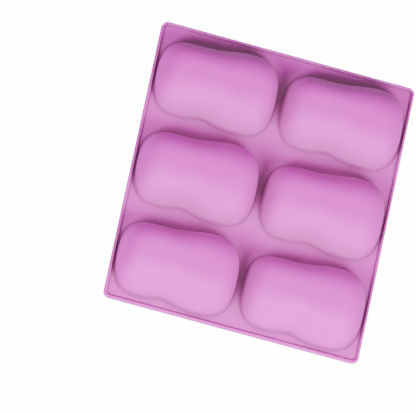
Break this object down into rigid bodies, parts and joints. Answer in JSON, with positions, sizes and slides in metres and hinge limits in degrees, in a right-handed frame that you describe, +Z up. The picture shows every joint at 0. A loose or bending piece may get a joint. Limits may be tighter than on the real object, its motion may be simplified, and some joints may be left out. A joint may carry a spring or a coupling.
{
  "type": "silicone soap mould",
  "caption": "Flexible rectangular mould, lying pour side down: six rounded, waisted cups rise from a thin rimmed sheet and are pressed in to free the soap.",
  "frame": {"origin": "on the plane that the pour face lies on, under the middle of the mould", "axes": "+X across the two columns towards the large lobe of each cup, +Y along the three rows towards the back row, +Z up out of the backs of the cups, away from the pour side"},
  "size_m": [0.2, 0.224, 0.03],
  "materials": {
    "silicone": "satin"
  },
  "bodies": {
    "middle_row": {"middle_sheet": "silicone", "front_web": "silicone", "back_web": "silicone", "middle_left_cup": "silicone", "middle_right_cup": "silicone"},
    "front_row": {"front_sheet": "silicone", "front_left_cup": "silicone", "front_right_cup": "silicone"},
    "back_row": {"back_sheet": "silicone", "back_left_cup": "silicone", "back_right_cup": "silicone"},
    "front_left_base": {"front_left_base": "silicone"},
    "front_right_base": {"front_right_base": "silicone"},
    "middle_left_base": {"middle_left_base": "silicone"},
    "middle_right_base": {"middle_right_base": "silicone"},
    "back_left_base": {"back_left_base": "silicone"},
    "back_right_base": {"back_right_base": "silicone"}
  },
  "joints": [
    {"name": "front_web_bend", "type": "hinge", "parent": "middle_row", "child": "front_row", "pos_m": [0, -0.0381, 0.001], "axis": [-1, 0, 0], "range_deg": [-30, 40], "stiffness_Nm_per_rad": 0.06, "deforming": ["front_web"]},
    {"name": "back_web_bend", "type": "hinge", "parent": "middle_row", "child": "back_row", "pos_m": [0, 0.0349, 0.001], "axis": [1, 0, 0], "range_deg": [-30, 40], "stiffness_Nm_per_rad": 0.06, "deforming": ["back_web"]},
    {"name": "front_left_base_push", "type": "slide", "parent": "front_row", "child": "front_left_base", "axis": [0, 0, -1], "range_m": [0, 0.012], "stiffness_N_per_m": 800, "springref_m": -0.001},
    {"name": "front_right_base_push", "type": "slide", "parent": "front_row", "child": "front_right_base", "axis": [0, 0, -1], "range_m": [0, 0.012], "stiffness_N_per_m": 800, "springref_m": -0.001},
    {"name": "middle_left_base_push", "type": "slide", "parent": "middle_row", "child": "middle_left_base", "axis": [0, 0, -1], "range_m": [0, 0.012], "stiffness_N_per_m": 800, "springref_m": -0.001},
    {"name": "middle_right_base_push", "type": "slide", "parent": "middle_row", "child": "middle_right_base", "axis": [0, 0, -1], "range_m": [0, 0.012], "stiffness_N_per_m": 800, "springref_m": -0.001},
    {"name": "back_left_base_push", "type": "slide", "parent": "back_row", "child": "back_left_base", "axis": [0, 0, -1], "range_m": [0, 0.012], "stiffness_N_per_m": 800, "springref_m": -0.001},
    {"name": "back_right_base_push", "type": "slide", "parent": "back_row", "child": "back_right_base", "axis": [0, 0, -1], "range_m": [0, 0.012], "stiffness_N_per_m": 800, "springref_m": -0.001}
  ]
}
